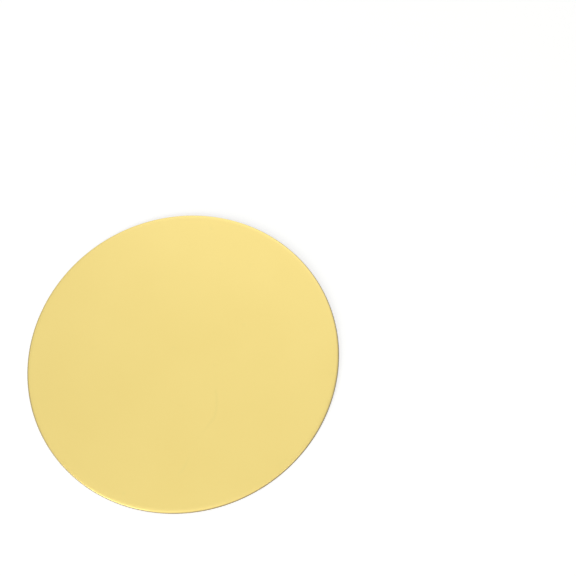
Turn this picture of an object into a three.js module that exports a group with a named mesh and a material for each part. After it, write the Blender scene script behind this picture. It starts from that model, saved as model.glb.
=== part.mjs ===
// Round cake board: one disc of stiff card with a gold film face, die-cut from the sheet.
// Millimetres, +Z up. It lies flat with the gold face up, and the origin is the centre of the
// underside, on the surface that the board rests on.

import * as THREE from 'three';

// Driving dimensions
const boardDiameter = 203.2; // across the widest part of the cut wall
const boardThickness = 1.6; // underside to gold face
const shoulderReach = 2.6; // how far in from the wall the face starts to roll down
const shoulderDrop = 0.4; // how far the cutting rule drew the face down at the wall
const wallLean = 0.42; // how far the wall stands in at its top, from the rule's wedge
const heelRadius = 0.2; // round along the lower edge, where the rule broke through

// Fineness of the facets
const turnSegments = 144;
const shoulderSegments = 8;
const heelSegments = 4;

const edgeRadius = boardDiameter / 2;
const wallTopRadius = edgeRadius - wallLean;
const wallTopHeight = boardThickness - shoulderDrop;
const wallRise = wallTopHeight - heelRadius;
const wallAngle = Math.atan2(wallLean, wallRise);

// Round of the lower edge: a circle from the underside out to its widest point and on up, until
// it runs along the leaning wall.
function heelPoints() {
  const centreRadius = edgeRadius - heelRadius;
  const heel = new THREE.EllipseCurve(
    centreRadius, heelRadius, heelRadius, heelRadius, -Math.PI / 2, wallAngle,
  );
  return heel.getPoints(heelSegments);
}

// Rolled shoulder: nearly a quarter of an ellipse, from where it runs along the leaning wall to
// where it meets the face level.
function shoulderPoints() {
  const centreRadius = wallTopRadius - shoulderReach;
  const startAngle = Math.atan2(shoulderDrop * wallLean, shoulderReach * wallRise);
  const shoulder = new THREE.EllipseCurve(
    centreRadius, wallTopHeight, shoulderReach, shoulderDrop, startAngle, Math.PI / 2,
  );
  return shoulder.getPoints(shoulderSegments);
}

// Half section of the board, from the axis along the underside, up the rim and back along the
// face. The leaning wall is the straight stretch between the heel and the shoulder.
function boardSection() {
  return [
    new THREE.Vector2(0, 0),
    ...heelPoints(),
    ...shoulderPoints(),
    new THREE.Vector2(0, boardThickness),
  ];
}

// The section turned about the board's axis. A lathe turns about +Y, so the disc is laid over
// to bring its axis to +Z.
function boardGeometry() {
  const disc = new THREE.LatheGeometry(boardSection(), turnSegments);
  disc.rotateX(Math.PI / 2);
  return disc;
}

const goldFilmOnCard = new THREE.MeshStandardMaterial({
  color: 0xf0da86,
  roughness: 0.42,
  metalness: 1.0,
});

const board = new THREE.Mesh(boardGeometry(), goldFilmOnCard);
board.name = 'cake_board';

const part = new THREE.Group();
part.add(board);

export default part;
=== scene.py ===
import math

import bpy
import numpy as np
from mathutils import Matrix, Vector


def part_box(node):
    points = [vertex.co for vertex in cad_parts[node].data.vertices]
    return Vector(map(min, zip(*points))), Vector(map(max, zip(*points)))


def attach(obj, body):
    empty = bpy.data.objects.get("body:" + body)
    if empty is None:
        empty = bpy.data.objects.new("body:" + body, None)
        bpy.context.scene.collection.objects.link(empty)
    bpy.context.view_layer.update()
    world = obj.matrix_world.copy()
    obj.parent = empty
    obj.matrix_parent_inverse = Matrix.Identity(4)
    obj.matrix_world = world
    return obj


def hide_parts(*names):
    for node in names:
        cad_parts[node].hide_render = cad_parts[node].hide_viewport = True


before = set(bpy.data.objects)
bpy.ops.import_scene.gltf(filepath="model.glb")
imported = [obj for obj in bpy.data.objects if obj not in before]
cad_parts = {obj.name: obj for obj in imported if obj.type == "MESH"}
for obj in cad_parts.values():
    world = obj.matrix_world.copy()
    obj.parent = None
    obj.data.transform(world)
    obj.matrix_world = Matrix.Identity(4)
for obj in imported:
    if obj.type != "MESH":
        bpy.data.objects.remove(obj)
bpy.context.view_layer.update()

# A gold-faced cake board, lying on a pale studio floor. Metres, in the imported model's own frame.
millimetre = 0.001

boardLow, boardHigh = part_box("cake_board")
edgeRadius = (boardHigh[0] - boardLow[0]) / 2
faceHeight = boardHigh[2]

# The board's surfaces, numbered in the order of its mesh's material slots
faceSlot, cardSlot, liningSlot, drawnSlot = range(4)


def linearColour(hexCode):
    # sRGB hex to the linear values that the shader takes
    channels = np.array([int(hexCode[i:i + 2], 16) for i in (1, 3, 5)]) / 255
    linear = np.where(channels <= 0.04045, channels / 12.92, ((channels + 0.055) / 1.055) ** 2.4)
    return (*linear.tolist(), 1.0)


def patternScale(sizeMm):
    # texture scale on Object coordinates for a feature of this real size
    return 1.0 / (sizeMm * millimetre)


def addNode(tree, kind, settings=None, inputs=None):
    # adds one node, sets its properties, and sets or links its inputs
    node = tree.nodes.new(kind)
    for name, value in (settings or {}).items():
        setattr(node, name, value)
    for name, value in (inputs or {}).items():
        if isinstance(value, bpy.types.NodeSocket):
            tree.links.new(value, node.inputs[name])
        else:
            node.inputs[name].default_value = value
    return node


def newMaterial(name):
    # an empty material and its node tree
    material = bpy.data.materials.new(name)
    material.use_nodes = True
    material.node_tree.nodes.clear()
    return material, material.node_tree


# Gold metallised film, laminated to the card. Sizes are in millimetres.
filmLook = {
    "gold": "#DCC776",
    "goldDeep": "#D8C26F",       # what its colour slowly drifts to
    "creaseDentShadeGold": "#D7C372",        # painted shade along the crease and in the dents
    "drawn": "#BAA366",          # where the rule has drawn it down the wall, thin and dull; its darker colour is partly painted shade of the wall
    "drawnDeep": "#AB955C",
    "rimShadeGold": "#8F7A42",         # painted shade on the roll and the drawn film, along the rim's flanks
    "roughness": 0.42,
    "drawnRoughness": 0.45,
    "roughnessSpread": 0.03,     # how far the fibres below vary it, up and down
    "coat": 1.0,                 # clear lacquer over the metal
    "coatRoughness": 0.25,
    "coatIor": 1.5,
    "driftSize": 55,             # of the colour's slow drift
    "fibreSize": 1.6,            # of the fibre bundles that show through
    "fibreRelief": 0.03,
    "fibreBump": 0.25,           # strength of that relief
}


def goldFilm(name, pale, deep, roughness):
    # Metallised polyester film, gold lacquered and heat laminated: a satin metal sheen that the
    # card's fibres under it break up, so that it glows evenly and mirrors nothing sharply.
    material, tree = newMaterial(name)
    coords = addNode(tree, "ShaderNodeTexCoord")
    place = coords.outputs["Object"]
    drift = addNode(tree, "ShaderNodeTexNoise", None,
                    {"Vector": place, "Scale": patternScale(filmLook["driftSize"]), "Detail": 2.0})
    # fibre bundles telegraph through the film, drawn coarser than real ones so that they show
    fibre = addNode(tree, "ShaderNodeTexNoise", None,
                    {"Vector": place, "Scale": patternScale(filmLook["fibreSize"]),
                     "Detail": 3.0, "Roughness": 0.55})
    tint = addNode(tree, "ShaderNodeMix", {"data_type": "RGBA"},
                   {"Factor": drift.outputs["Fac"], "A": linearColour(deep),
                    "B": linearColour(pale)})
    # painted shade along the crease and in the dents, mixed into the film's colour by how deep
    # they sink
    creaseDentShade = addNode(tree, "ShaderNodeAttribute", {"attribute_name": "creaseDentShade"})
    creaseDentShadeGold = addNode(tree, "ShaderNodeMix", {"data_type": "RGBA"},
                      {"Factor": creaseDentShade.outputs["Fac"], "A": tint.outputs["Result"],
                       "B": linearColour(filmLook["creaseDentShadeGold"])})
    # painted shade along the rim's flanks, mixed into the film's colour
    rimShade = addNode(tree, "ShaderNodeAttribute", {"attribute_name": "rimShade"})
    rimShadeGold = addNode(tree, "ShaderNodeMix", {"data_type": "RGBA"},
                     {"Factor": rimShade.outputs["Fac"], "A": creaseDentShadeGold.outputs["Result"],
                      "B": linearColour(filmLook["rimShadeGold"])})
    sheen = addNode(tree, "ShaderNodeMapRange", None,
                    {"Value": fibre.outputs["Fac"],
                     "To Min": roughness - filmLook["roughnessSpread"],
                     "To Max": roughness + filmLook["roughnessSpread"]})
    bump = addNode(tree, "ShaderNodeBump", None,
                   {"Height": fibre.outputs["Fac"], "Strength": filmLook["fibreBump"],
                    "Distance": filmLook["fibreRelief"] * millimetre})
    shader = addNode(tree, "ShaderNodeBsdfPrincipled", None,
                     {"Base Color": rimShadeGold.outputs["Result"], "Metallic": 1.0,
                      "Roughness": sheen.outputs["Result"], "Normal": bump.outputs["Normal"],
                      "Coat Weight": filmLook["coat"], "Coat Roughness": filmLook["coatRoughness"],
                      "Coat IOR": filmLook["coatIor"]})
    addNode(tree, "ShaderNodeOutputMaterial", None, {"Surface": shader.outputs["BSDF"]})
    return material


# Solid greyboard where the rule cut through it. Sizes are in millimetres.
cardLook = {
    "pale": "#9C8955",
    "dark": "#786539",
    "tintRange": (0.45, 0.95),   # pattern values that give the dark and the pale
    "roughness": 0.9,
    "plySize": 5.0,              # length of a streak along the plies
    "plyFlattening": 16.0,       # how many times longer than thick a streak is
    "speckSize": 0.5,            # of the single fibres' specks
    "speckShare": 0.4,           # how much they count beside the plies
    "relief": 0.1,
    "bump": 0.6,                 # strength of that relief
}


def cutCard():
    # Solid greyboard, die-cut: a matt, fibrous wall, tan from its recycled pulp, whose pressed
    # plies show as faint level lines.
    material, tree = newMaterial("dieCutGreyboard")
    coords = addNode(tree, "ShaderNodeTexCoord")
    flattened = addNode(tree, "ShaderNodeMapping", None,
                        {"Vector": coords.outputs["Object"],
                         "Scale": (1.0, 1.0, cardLook["plyFlattening"])})
    ply = addNode(tree, "ShaderNodeTexNoise", None,
                  {"Vector": flattened.outputs["Vector"],
                   "Scale": patternScale(cardLook["plySize"]), "Detail": 4.0})
    speck = addNode(tree, "ShaderNodeTexNoise", None,
                    {"Vector": coords.outputs["Object"],
                     "Scale": patternScale(cardLook["speckSize"]), "Detail": 2.0})
    both = addNode(tree, "ShaderNodeMath", {"operation": "MULTIPLY_ADD"},
                   {0: speck.outputs["Fac"], 1: cardLook["speckShare"], 2: ply.outputs["Fac"]})
    low, high = cardLook["tintRange"]
    spread = addNode(tree, "ShaderNodeMapRange", None,
                     {"Value": both.outputs["Value"], "From Min": low, "From Max": high})
    tint = addNode(tree, "ShaderNodeMix", {"data_type": "RGBA"},
                   {"Factor": spread.outputs["Result"], "A": linearColour(cardLook["dark"]),
                    "B": linearColour(cardLook["pale"])})
    bump = addNode(tree, "ShaderNodeBump", None,
                   {"Height": both.outputs["Value"], "Strength": cardLook["bump"],
                    "Distance": cardLook["relief"] * millimetre})
    shader = addNode(tree, "ShaderNodeBsdfPrincipled", None,
                     {"Base Color": tint.outputs["Result"], "Roughness": cardLook["roughness"],
                      "Normal": bump.outputs["Normal"]})
    addNode(tree, "ShaderNodeOutputMaterial", None, {"Surface": shader.outputs["BSDF"]})
    return material


# White lining paper on the underside. Sizes are in millimetres.
liningLook = {
    "paper": "#E9E5DA",
    "shade": "#DDD8CA",
    "roughness": 0.82,
    "cloudSize": 4.0,            # of the fibre cloud
    "toothSize": 0.6,            # of the surface grain
    "toothRelief": 0.05,
    "toothBump": 0.3,            # strength of that relief
}


def liningPaper():
    # White lining paper, calendered onto the card: matt, near white, with a faint fibre cloud.
    material, tree = newMaterial("calenderedLiningPaper")
    coords = addNode(tree, "ShaderNodeTexCoord")
    cloud = addNode(tree, "ShaderNodeTexNoise", None,
                    {"Vector": coords.outputs["Object"],
                     "Scale": patternScale(liningLook["cloudSize"]), "Detail": 6.0,
                     "Roughness": 0.65})
    tooth = addNode(tree, "ShaderNodeTexNoise", None,
                    {"Vector": coords.outputs["Object"],
                     "Scale": patternScale(liningLook["toothSize"]), "Detail": 3.0})
    tint = addNode(tree, "ShaderNodeMix", {"data_type": "RGBA"},
                   {"Factor": cloud.outputs["Fac"], "A": linearColour(liningLook["shade"]),
                    "B": linearColour(liningLook["paper"])})
    bump = addNode(tree, "ShaderNodeBump", None,
                   {"Height": tooth.outputs["Fac"], "Strength": liningLook["toothBump"],
                    "Distance": liningLook["toothRelief"] * millimetre})
    shader = addNode(tree, "ShaderNodeBsdfPrincipled", None,
                     {"Base Color": tint.outputs["Result"], "Roughness": liningLook["roughness"],
                      "Normal": bump.outputs["Normal"]})
    addNode(tree, "ShaderNodeOutputMaterial", None, {"Surface": shader.outputs["BSDF"]})
    return material


# What a user would change on the board's form. Lengths are in millimetres, and the first four
# are the solid's own.
boardForm = {
    "shoulderReach": 2.6,        # how far in the face starts to roll down
    "shoulderDrop": 0.4,         # how far it has sunk at the cut
    "wallLean": 0.42,            # how far the wall stands in at its top
    "heelRadius": 0.2,           # round of the lower edge
    "filmTuck": 0.6,             # how far the film is drawn down the wall
    "filmWander": 0.05,          # how unevenly the film's cut line runs
    "wanderLimit": 0.1,          # the most that it strays
    "wanderCycles": (5, 160),    # fewest and most ripples round the board in that line
    "wanderWaves": 24,           # how many sines are summed for it
    "fibreRelief": 0.012,        # roughness of the cut wall
    "fibreCycles": (20, 340),    # fewest and most ripples round the board in that
    "fibreWaves": 30,            # how many sines are summed for each ring
    # Painted shade on the rim's flanks, darkening the roll and the drawn film
    "rimShadeReach": 0.5,           # how far in from the wall's top the painted shade reaches
    "rimShadeAxis": 170,            # compass angle of the flank with the most painted shade
    "rimShadeFarSide": 0.45,        # how much of that the opposite side has
    "rimShadePower": 4,             # how closely it keeps to that axis
    "faceWave": 0.012,           # slow unevenness of the laminated sheet
    "faceWaveLengths": (60, 140),
    "faceWaveCount": 9,          # how many sines are summed for it
    "faceWaveMargin": 12,        # over which that fades out towards the edge
    "angularSteps": 600,
    "faceRings": 110,
    "faceRingPower": 0.8,        # under 1 crowds the rings towards the rim
    "shoulderRings": 14,
    "tuckRings": 3,
    "wallRings": 7,
    "heelRings": 4,
    "undersideRings": 5,
    "seed": 7,
}


def ringProfile():
    # Half section as rings from the face's centre, over the shoulder, down the leaning wall, round
    # the heel and in along the underside. The shoulder is an ellipse: out by reach times the sine,
    # down by drop times one minus the cosine, up to where it runs along the wall. The heel is a
    # circle that leaves the wall the same way. Returns each ring's radius and height in metres,
    # the surface that each band belongs to, and the ring at the film's cut line.
    reach = boardForm["shoulderReach"] * millimetre
    drop = boardForm["shoulderDrop"] * millimetre
    lean = boardForm["wallLean"] * millimetre
    heel = boardForm["heelRadius"] * millimetre
    tuck = boardForm["filmTuck"] * millimetre
    wallTop = edgeRadius - lean
    rise = faceHeight - drop - heel
    shoulderStart = wallTop - reach
    share = np.linspace(0, 1, boardForm["faceRings"] + 1) ** boardForm["faceRingPower"]
    faceRadius = shoulderStart * share
    faceZ = np.full_like(faceRadius, faceHeight)
    shoulderEnd = np.pi / 2 - np.arctan2(drop * lean, reach * rise)
    turn = np.linspace(0, shoulderEnd, boardForm["shoulderRings"] + 1)[1:]
    shoulderRadius = shoulderStart + reach * np.sin(turn)
    shoulderZ = faceHeight - drop * (1 - np.cos(turn))
    wallAngle = np.arctan2(lean, rise)
    heelTurn = np.linspace(wallAngle, -np.pi / 2, boardForm["heelRings"] + 2)
    heelRadius = edgeRadius - heel + heel * np.cos(heelTurn)
    heelZ = heel + heel * np.sin(heelTurn)
    tuckShare = tuck / rise
    down = np.concatenate([
        np.linspace(0, tuckShare, boardForm["tuckRings"] + 1)[1:],
        np.linspace(tuckShare, 1, boardForm["wallRings"] + 1)[1:-1]])
    wallRadius = shoulderRadius[-1] + (heelRadius[0] - shoulderRadius[-1]) * down
    wallZ = shoulderZ[-1] + (heelZ[0] - shoulderZ[-1]) * down
    underRadius = np.linspace(edgeRadius - heel, 0, boardForm["undersideRings"] + 1)[1:]
    underZ = np.zeros_like(underRadius)
    radius = np.concatenate([faceRadius, shoulderRadius, wallRadius, heelRadius, underRadius])
    height = np.concatenate([faceZ, shoulderZ, wallZ, heelZ, underZ])
    faceBands = len(faceRadius) + len(shoulderRadius) - 1
    cardBands = boardForm["wallRings"] + boardForm["heelRings"] + 1
    surface = np.repeat([faceSlot, drawnSlot, cardSlot, liningSlot],
                        [faceBands, boardForm["tuckRings"], cardBands,
                         boardForm["undersideRings"]])
    return radius, height, surface, faceBands + boardForm["tuckRings"]


def aroundNoise(rng, angle, cycles, count):
    # Sum of sines that close on themselves round the board, each with its own whole number of
    # ripples and its own phase, over the square root of their count.
    ripples = rng.integers(*cycles, count)
    phase = rng.uniform(0, 2 * np.pi, count)
    return np.sin(ripples[:, None] * angle[None, :] + phase[:, None]).sum(0) / np.sqrt(count)


def slowWave(rng, x, y):
    # Sum of sines in random directions, each with its own length and phase, over the square root
    # of their count: the sheet's slow unevenness.
    count = boardForm["faceWaveCount"]
    headings = rng.uniform(0, np.pi, count)
    lengths = rng.uniform(*boardForm["faceWaveLengths"], count) * millimetre
    phases = rng.uniform(0, 2 * np.pi, count)
    total = np.zeros_like(x)
    for heading, length, phase in zip(headings, lengths, phases):
        along = x * np.cos(heading) + y * np.sin(heading)
        total += np.sin(2 * np.pi * along / length + phase)
    return total / np.sqrt(count)


# Handling marks on the face: a long faint crease and a scatter of small dents. Lengths are in
# millimetres. A dent is its place, its width and how strong it is.
faceMarks = {
    "creasePath": [(17.3, -25.0), (16.9, -32.3), (15.6, -39.1), (13.0, -44.9), (7.7, -49.4),
                   (0.0, -55.6), (-7.6, -66.0), (-11.6, -72.0), (-17.6, -77.3)],
    "creaseDepth": 0.05,
    "creaseWidth": 0.85,
    "creaseGap": (0.50, 0.80),   # share of its length over which it all but fades out
    "creaseFade": 0.85,          # how much of it is gone there
    "creaseEnds": 0.08,          # share of its length over which each end fades
    "creasePoints": 160,         # of the smoothed path
    "creaseSmoothing": 17,       # odd count of points that each of them is averaged over
    "dentDepth": 0.05,           # of a dent of strength 1
    "dents": [(36.3, 84.8, 1.1, 1.0), (49.3, 82.1, 0.9, 0.9), (37.6, 58.0, 0.9, 0.8),
              (56.7, 51.8, 0.9, 0.7), (44.1, 11.9, 1.0, 0.8), (20.9, 29.3, 0.8, 0.5),
              (19.6, -10.9, 0.9, 0.6), (91.2, -35.6, 1.1, 1.0), (72.7, 5.4, 0.9, 0.3),
              (-55.6, 20.7, 0.9, 0.4), (-4.0, 7.8, 1.1, 0.8), (-6.6, -31.9, 0.8, 0.5),
              (47.3, -83.5, 1.3, 0.7), (7.8, -86.7, 0.9, 0.4), (-51.8, -79.0, 1.1, 1.0)],
}


def creasePathPoints():
    # The path at even steps, each point then a weighted mean of its neighbours. Returns the
    # points and how far along the path each of them lies, from nought to one.
    path = np.array(faceMarks["creasePath"]) * millimetre
    window = faceMarks["creaseSmoothing"]
    half = window // 2
    along = np.linspace(0, 1, faceMarks["creasePoints"])
    knots = np.linspace(0, 1, len(path))
    even = np.stack([np.interp(along, knots, path[:, axis]) for axis in (0, 1)], 1)
    weights = np.hanning(window) / np.hanning(window).sum()
    padded = np.pad(even, ((half, half), (0, 0)), "reflect", reflect_type="odd")
    smooth = [np.convolve(padded[:, axis], weights, "valid") for axis in (0, 1)]
    return np.stack(smooth, 1), along


def creaseShare(x, y):
    # A groove along a path: a bell curve of the distance to the nearest point of the path, faded
    # along the gap and at both ends.
    smooth, along = creasePathPoints()
    squared = (x[:, None] - smooth[None, :, 0]) ** 2 + (y[:, None] - smooth[None, :, 1]) ** 2
    nearest = squared.argmin(1)
    distance = np.sqrt(squared[np.arange(len(x)), nearest])
    place = along[nearest]
    start, end = faceMarks["creaseGap"]
    fromMiddle = (place - (start + end) / 2) / ((end - start) / 2)
    faded = 1 - faceMarks["creaseFade"] * np.exp(-fromMiddle ** 4)
    ends = np.clip(np.minimum(place, 1 - place) / faceMarks["creaseEnds"], 0, 1)
    width = faceMarks["creaseWidth"] * millimetre
    return faded * ends * np.exp(-(distance / width) ** 2)


def dentShare(x, y):
    # each dent is a bell-shaped hollow
    total = np.zeros_like(x)
    for dentX, dentY, width, strength in faceMarks["dents"]:
        squared = (x - dentX * millimetre) ** 2 + (y - dentY * millimetre) ** 2
        total += strength * np.exp(-squared / (width * millimetre) ** 2)
    return total


# Painted shade on the rim: how much the film's colour is darkened on the roll and the drawn wall,
# on two opposite flanks
def rimShadeShare(radius, angle, top, filmLine):
    # A bell curve of how far a ring of the roll lies inside the wall's top, and one on down to the
    # film's cut line. That is multiplied by an even power of the cosine of the angle from the
    # craze axis, and by a slope that falls along that axis to the opposite side's share.
    reach = boardForm["rimShadeReach"] * millimetre
    inward = np.exp(-((radius[top - 1] - radius) / reach) ** 2)
    inward[top:] = 0
    inward[top:filmLine + 1] = 1
    across = np.cos(angle - math.radians(boardForm["rimShadeAxis"]))
    farSide = boardForm["rimShadeFarSide"]
    side = across ** boardForm["rimShadePower"] * (farSide + (1 - farSide) * (across + 1) / 2)
    return inward[:, None] * side[None, :]


def boardGrid():
    # Section times turn: a point is its ring's radius and height at each angle. On that are laid
    # the wandering film line, the torn fibres of the wall, the sheet's unevenness and the marks.
    rng = np.random.default_rng(boardForm["seed"])
    radius, height, surface, filmLine = ringProfile()
    steps = boardForm["angularSteps"]
    angle = np.arange(steps) * 2 * np.pi / steps
    r = np.repeat(radius[:, None], steps, 1)
    z = np.repeat(height[:, None], steps, 1)
    wander = aroundNoise(rng, angle, boardForm["wanderCycles"], boardForm["wanderWaves"])
    limit = boardForm["wanderLimit"] * millimetre
    z[filmLine] += np.clip(wander * boardForm["filmWander"] * millimetre / 2, -limit, limit)
    torn = np.arange(filmLine, filmLine + boardForm["wallRings"] + 1)
    fibres = np.stack([
        aroundNoise(rng, angle, boardForm["fibreCycles"], boardForm["fibreWaves"]) for _ in torn])
    r[torn] -= np.abs(fibres) * boardForm["fibreRelief"] * millimetre
    x = r * np.cos(angle)
    y = r * np.sin(angle)
    top = boardForm["faceRings"] + 1 + boardForm["shoulderRings"]
    faceX, faceY = x[:top].ravel(), y[:top].ravel()
    margin = boardForm["faceWaveMargin"] * millimetre
    inFace = np.clip((edgeRadius - np.hypot(faceX, faceY)) / margin, 0, 1)
    relief = slowWave(rng, faceX, faceY) * boardForm["faceWave"] * millimetre * inFace
    crease, dents = creaseShare(faceX, faceY), dentShare(faceX, faceY)
    relief -= crease * faceMarks["creaseDepth"] * millimetre
    relief -= dents * faceMarks["dentDepth"] * millimetre
    z[:top] += relief.reshape(top, steps)
    # painted shade along the crease and in the dents, by how deep they sink
    creaseDentShade = np.zeros_like(z)
    creaseDentShade[:top] = np.clip(crease + dents, 0, 1).reshape(top, steps)
    return x, y, z, surface, creaseDentShade, rimShadeShare(radius, angle, top, filmLine)


def boardMesh(name):
    # Grid to mesh: the first and last rings are single points, closed by fans. The painted shade
    # of the face's crease and dents, and of the rim's flanks, go along as attributes.
    x, y, z, surface, creaseDentShade, rimShade = boardGrid()
    rings, steps = x.shape
    between = np.stack([x[1:-1], y[1:-1], z[1:-1]], -1).reshape(-1, 3)
    poles = np.array([[0, 0, z[0].mean()], [0, 0, z[-1].mean()]])
    points = np.concatenate([between, poles])
    topPole, underPole = len(between), len(between) + 1
    here = np.arange(steps)
    after = (here + 1) % steps
    ring = np.arange(rings - 3)[:, None] * steps
    quads = np.stack([ring + here, ring + steps + here, ring + steps + after, ring + after], -1)
    lastRing = (rings - 3) * steps
    topFan = np.stack([np.full(steps, topPole), here, after], -1)
    underFan = np.stack([lastRing + here, np.full(steps, underPole), lastRing + after], -1)
    corners = np.concatenate([topFan.ravel(), quads.ravel(), underFan.ravel()])
    sizes = np.concatenate([np.full(steps, 3), np.full(quads.size // 4, 4), np.full(steps, 3)])
    starts = np.concatenate([[0], np.cumsum(sizes)[:-1]])
    mesh = bpy.data.meshes.new(name)
    mesh.vertices.add(len(points))
    mesh.vertices.foreach_set("co", points.ravel())
    mesh.loops.add(len(corners))
    mesh.loops.foreach_set("vertex_index", corners)
    mesh.polygons.add(len(sizes))
    mesh.polygons.foreach_set("loop_start", starts)
    mesh.polygons.foreach_set("material_index", np.repeat(surface, steps))
    mesh.update(calc_edges=True)
    mesh.validate()
    for label, share in (("creaseDentShade", creaseDentShade), ("rimShade", rimShade)):
        mesh.attributes.new(label, "FLOAT", "POINT")
        mesh.attributes[label].data.foreach_set("value", np.append(share[1:-1].ravel(), [0, 0]))
    mesh.shade_smooth()
    return mesh


def makeBoard():
    # The dressed board, which takes the place of the solid and lies still with the root body
    mesh = boardMesh("goldCakeBoard")
    finishes = {
        faceSlot: goldFilm("goldMetallisedFilm", filmLook["gold"], filmLook["goldDeep"],
                           filmLook["roughness"]),
        cardSlot: cutCard(),
        liningSlot: liningPaper(),
        # the film drawn down the wall, its darker colour partly painted shade of the wall
        drawnSlot: goldFilm("ruleDrawnFilm", filmLook["drawn"], filmLook["drawnDeep"],
                            filmLook["drawnRoughness"]),
    }
    for slot in range(len(finishes)):
        mesh.materials.append(finishes[slot])
    board = bpy.data.objects.new("goldCakeBoard", mesh)
    bpy.context.scene.collection.objects.link(board)
    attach(board, "root")
    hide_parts("cake_board")
    print("board made:", len(mesh.polygons), "faces")


# Floor and surround of the studio
studio = {
    "floorColour": "#D7D7D5",
    "floorLift": 0.53,           # what the camera sees added to the floor, to reach white
    "farLift": 0.80,             # the same where the lamps have faded
    "farRange": (0.4, 2.2),      # metres from the board over which it grows to that
    "floorSize": 6.0,            # metres
    "surround": 0.35,            # light of the surround on matt surfaces
}


def seenByCamera(tree):
    # one where the camera, a mirror or a clear body looks at this surface, and nought elsewhere
    path = addNode(tree, "ShaderNodeLightPath")
    direct = addNode(tree, "ShaderNodeMath", {"operation": "MAXIMUM"},
                     {0: path.outputs["Is Camera Ray"], 1: path.outputs["Is Glossy Ray"]})
    return addNode(tree, "ShaderNodeMath", {"operation": "MAXIMUM"},
                   {0: direct.outputs["Value"], 1: path.outputs["Is Transmission Ray"]})


def makeFloor():
    # Matt white studio floor: it takes the board's shadow, and is lifted to white for the camera
    half = studio["floorSize"] / 2
    mesh = bpy.data.meshes.new("studioFloor")
    mesh.from_pydata([(-half, -half, 0), (half, -half, 0), (half, half, 0), (-half, half, 0)], [],
                     [(0, 1, 2, 3)])
    material, tree = newMaterial("mattWhiteFloor")
    matt = addNode(tree, "ShaderNodeBsdfDiffuse", None,
                   {"Color": linearColour(studio["floorColour"])})
    seen = seenByCamera(tree)
    coords = addNode(tree, "ShaderNodeTexCoord")
    away = addNode(tree, "ShaderNodeVectorMath", {"operation": "LENGTH"},
                   {0: coords.outputs["Object"]})
    near, far = studio["farRange"]
    level = addNode(tree, "ShaderNodeMapRange", None,
                    {"Value": away.outputs["Value"], "From Min": near, "From Max": far,
                     "To Min": studio["floorLift"], "To Max": studio["farLift"]})
    lift = addNode(tree, "ShaderNodeMath", {"operation": "MULTIPLY"},
                   {0: seen.outputs["Value"], 1: level.outputs["Result"]})
    glow = addNode(tree, "ShaderNodeEmission", None, {"Strength": lift.outputs["Value"]})
    both = addNode(tree, "ShaderNodeAddShader", None,
                   {0: matt.outputs["BSDF"], 1: glow.outputs["Emission"]})
    addNode(tree, "ShaderNodeOutputMaterial", None, {"Surface": both.outputs["Shader"]})
    mesh.materials.append(material)
    floor = bpy.data.objects.new("studioFloor", mesh)
    bpy.context.scene.collection.objects.link(floor)
    print("floor made")


def makeSurround():
    # Even white surround: strength 1 where it is seen, and a plain light level on matt surfaces
    world = bpy.data.worlds.new("studioSurround")
    world.use_nodes = True
    tree = world.node_tree
    tree.nodes.clear()
    seen = seenByCamera(tree)
    level = addNode(tree, "ShaderNodeMapRange", None,
                    {"Value": seen.outputs["Value"], "To Min": studio["surround"], "To Max": 1.0})
    white = addNode(tree, "ShaderNodeBackground", None,
                    {"Color": linearColour("#FFFFFF"), "Strength": level.outputs["Result"]})
    addNode(tree, "ShaderNodeOutputWorld", None, {"Surface": white.outputs["Background"]})
    bpy.context.scene.world = world
    print("surround made")


# Soft lamps, all at one distance in metres. Each has its compass angle from +X and its height
# above the floor in degrees, its size in metres, and as its strength the brightness of its face,
# where 1 is white.
lampDistance = 2.2
lamps = [
    {"name": "farSoftbox", "compass": 75, "height": 45, "size": 1.6, "strength": 0.79},
    {"name": "leftSoftbox", "compass": -138, "height": 50, "size": 1.6, "strength": 0.40},
    {"name": "highSoftbox", "compass": -150, "height": 66, "size": 0.8, "strength": 0.90},
    {"name": "overheadSoftbox", "compass": 165, "height": 82, "size": 0.35, "strength": 1.2},
    {"name": "lowSoftbox", "compass": -143, "height": 14, "size": 0.8, "strength": 18.5},
    {"name": "rightSoftbox", "compass": -47, "height": 56, "size": 0.6, "strength": 3.0},
]


def makeLamps():
    # A square softbox gives out pi times its face's brightness times its area
    for lamp in lamps:
        light = bpy.data.lights.new(lamp["name"], "AREA")
        light.size = lamp["size"]
        light.energy = math.pi * lamp["strength"] * lamp["size"] ** 2
        compass, height = math.radians(lamp["compass"]), math.radians(lamp["height"])
        toLamp = Vector((math.cos(compass) * math.cos(height),
                         math.sin(compass) * math.cos(height), math.sin(height)))
        turn = (-toLamp).to_track_quat("-Z", "Y").to_matrix().to_4x4()
        holder = bpy.data.objects.new(lamp["name"], light)
        holder.matrix_world = Matrix.Translation(toLamp * lampDistance) @ turn
        bpy.context.scene.collection.objects.link(holder)
    print("lamps made:", len(lamps))


# The camera's place and lens, solved from the board's outline in the picture
viewpoint = {
    "place": (0.07725, -0.29895, 0.77306),   # metres
    "elevation": 66.94,          # degrees that the line of sight falls
    "roll": -13.6,               # degrees
    "focalPixels": 1282.8,       # focal length in pixels of the frame
    "framePixels": 576,
    "sensor": 36.0,              # millimetres
    "nearClip": 0.01,            # metres
}


def makeCamera():
    # Looks along +Y and down by the elevation, then rolls about its own line of sight
    data = bpy.data.cameras.new("photoCamera")
    data.sensor_width = viewpoint["sensor"]
    data.lens = viewpoint["focalPixels"] / viewpoint["framePixels"] * viewpoint["sensor"]
    data.clip_start = viewpoint["nearClip"]
    camera = bpy.data.objects.new("photoCamera", data)
    tilt = Matrix.Rotation(math.radians(90 - viewpoint["elevation"]), 4, "X")
    roll = Matrix.Rotation(math.radians(viewpoint["roll"]), 4, "Z")
    camera.matrix_world = Matrix.Translation(viewpoint["place"]) @ tilt @ roll
    bpy.context.scene.collection.objects.link(camera)
    bpy.context.scene.camera = camera
    print("camera made, lens", round(data.lens, 2))


bpy.context.scene.view_settings.view_transform = "Standard"
makeCamera()
makeBoard()
makeFloor()
makeSurround()
makeLamps()
